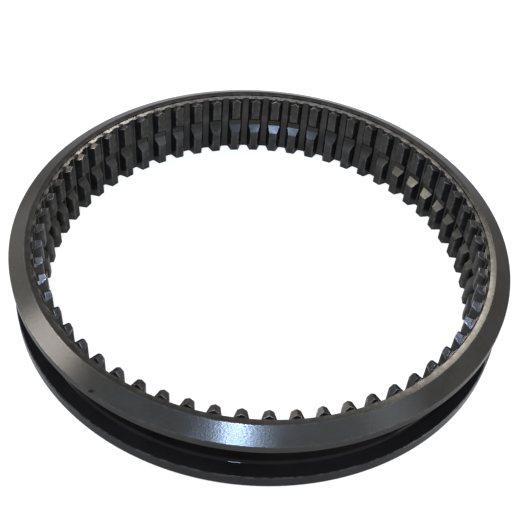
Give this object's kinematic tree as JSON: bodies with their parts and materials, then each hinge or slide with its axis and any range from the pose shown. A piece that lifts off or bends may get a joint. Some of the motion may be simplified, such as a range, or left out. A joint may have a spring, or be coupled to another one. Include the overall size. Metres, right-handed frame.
{
  "type": "gearbox sliding sleeve",
  "caption": "Steel gearbox sliding sleeve: a ring with a shift fork groove outside, internal splines with pointed ends and a detent groove across the teeth.",
  "frame": {"origin": "centre of the flat bottom end face, on the axis of the ring", "axes": "+Z along the axis of the ring, towards the end with the bevel and the pointed teeth; -Y towards the viewer of the picture"},
  "size_m": [0.203, 0.203, 0.03],
  "materials": {
    "sleeve_steel": "dark fine-blasted hardened steel"
  },
  "bodies": {
    "root": {"sliding_sleeve": "sleeve_steel"}
  },
  "joints": []
}
